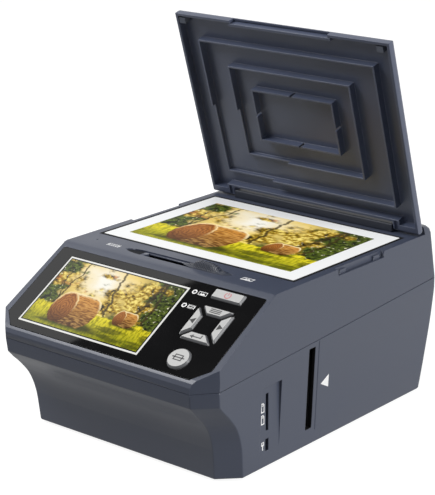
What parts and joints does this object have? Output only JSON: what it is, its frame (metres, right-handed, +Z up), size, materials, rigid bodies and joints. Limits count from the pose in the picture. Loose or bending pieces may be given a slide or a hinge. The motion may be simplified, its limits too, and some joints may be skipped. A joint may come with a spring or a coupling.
{
  "type": "film and photo scanner",
  "caption": "Desktop film and photo scanner with a ribbed hinged lid, sloped screen panel, mode slider and side film slot.",
  "frame": {"origin": "On the floor under the middle of the machine, with the lid standing open.", "axes": "+Z up, -Y toward the user, where the sloped panel is, +X to the user's right, where the card slot is"},
  "size_m": [0.194, 0.264, 0.2702],
  "materials": {
    "case_plastic": "fine-textured moulded plastic",
    "lower_case_plastic": "fine-textured moulded plastic",
    "bezel_gloss": "glossy black",
    "screen_glass": "glossy",
    "back_plate_steel": "zinc plated",
    "key_plastic": "light grey satin",
    "mat_rubber": "matte",
    "key_board_green": "circuit board",
    "lamp_pipe_clear": "clear",
    "seal_rubber": "matte",
    "platen_glass": "clear",
    "print_paper": "glossy photo paper",
    "knob_plastic": "satin",
    "carriage_plastic": "matte",
    "lid_plastic": "fine-textured moulded plastic",
    "pad_rubber": "matte",
    "pin_steel": "turned",
    "hinge_bar_plastic": "fine-textured moulded plastic",
    "channel_black": "matte",
    "lamp_case_black": "matte",
    "lamp_board_white": "circuit board",
    "diffuser_white": "translucent white",
    "tray_black": "matte",
    "carrier_black": "matte",
    "mirror_silver": "front silvered",
    "shaft_steel": "turned",
    "lens_black": "coated",
    "camera_black": "matte",
    "camera_board_green": "circuit board",
    "main_board_green": "circuit board",
    "socket_steel": "stamped",
    "data_socket_steel": "stamped",
    "light_bar_left_white": "translucent white",
    "light_bar_right_white": "translucent white",
    "foot_rubber": "matte",
    "screw_steel": "zinc plated"
  },
  "bodies": {
    "case": {"lower_case": "lower_case_plastic", "upper_case": "case_plastic", "bezel_panel": "bezel_gloss", "screen_module": "screen_glass", "panel_back_plate": "back_plate_steel", "key_mat": "mat_rubber", "key_board": "key_board_green", "lamp_pipe_photo": "lamp_pipe_clear", "lamp_pipe_film": "lamp_pipe_clear", "glass_seal": "seal_rubber", "platen_glass": "platen_glass", "photo_print": "print_paper", "hinge_pin_left": "pin_steel", "hinge_pin_right": "pin_steel", "hinge_bar": "hinge_bar_plastic", "film_channel": "channel_black", "film_lamp_case": "lamp_case_black", "film_lamp_board": "lamp_board_white", "film_lamp_diffuser": "diffuser_white", "optical_tray": "tray_black", "mirror_shaft": "shaft_steel", "lens_barrel": "lens_black", "camera_housing": "camera_black", "camera_board": "camera_board_green", "main_board": "main_board_green", "card_socket": "socket_steel", "data_socket": "data_socket_steel", "light_bar_left": "light_bar_left_white", "light_bar_right": "light_bar_right_white", "foot_front_left": "foot_rubber", "screw_front_left": "screw_steel", "foot_front_right": "foot_rubber", "screw_front_right": "screw_steel", "foot_back_left": "foot_rubber", "screw_back_left": "screw_steel", "foot_back_right": "foot_rubber", "screw_back_right": "screw_steel"},
    "lid": {"lid_shell": "lid_plastic", "lid_pad_left": "pad_rubber", "lid_pad_right": "pad_rubber"},
    "mode_slider": {"mode_knob": "knob_plastic", "slide_carriage": "carriage_plastic"},
    "mirror": {"mirror_carrier": "carrier_black", "flip_mirror": "mirror_silver"},
    "power_key": {"key_power": "key_plastic"},
    "menu_key": {"key_menu": "key_plastic"},
    "left_key": {"key_left": "key_plastic"},
    "enter_key": {"key_enter": "key_plastic"},
    "right_key": {"key_right": "key_plastic"},
    "scan_key": {"key_scan": "key_plastic"}
  },
  "joints": [
    {"name": "lid_hinge", "type": "hinge", "parent": "case", "child": "lid", "pos_m": [0, 0.1102, 0.126], "axis": [1, 0, 0], "range_deg": [-17.2, 72.8]},
    {"name": "mode_slide", "type": "slide", "parent": "case", "child": "mode_slider", "axis": [1, 0, 0], "range_m": [-0.052, 0]},
    {"name": "mirror_flip", "type": "hinge", "parent": "case", "child": "mirror", "pos_m": [0, 0.058, 0.015], "axis": [1, 0, 0], "range_deg": [0, 45]},
    {"name": "power_press", "type": "slide", "parent": "case", "child": "power_key", "axis": [0, 0.506, -0.8625], "range_m": [0, 0.001], "stiffness_N_per_m": 500},
    {"name": "menu_press", "type": "slide", "parent": "case", "child": "menu_key", "axis": [0, 0.506, -0.8625], "range_m": [0, 0.001], "stiffness_N_per_m": 500},
    {"name": "left_press", "type": "slide", "parent": "case", "child": "left_key", "axis": [0, 0.506, -0.8625], "range_m": [0, 0.001], "stiffness_N_per_m": 500},
    {"name": "enter_press", "type": "slide", "parent": "case", "child": "enter_key", "axis": [0, 0.506, -0.8625], "range_m": [0, 0.001], "stiffness_N_per_m": 500},
    {"name": "right_press", "type": "slide", "parent": "case", "child": "right_key", "axis": [0, 0.506, -0.8625], "range_m": [0, 0.001], "stiffness_N_per_m": 500},
    {"name": "scan_press", "type": "slide", "parent": "case", "child": "scan_key", "axis": [0, 0.506, -0.8625], "range_m": [0, 0.001], "stiffness_N_per_m": 500}
  ],
  "couplings": [
    {"joint": "mirror_flip", "follows": "mode_slide", "rad_per_m": -15.104}
  ]
}
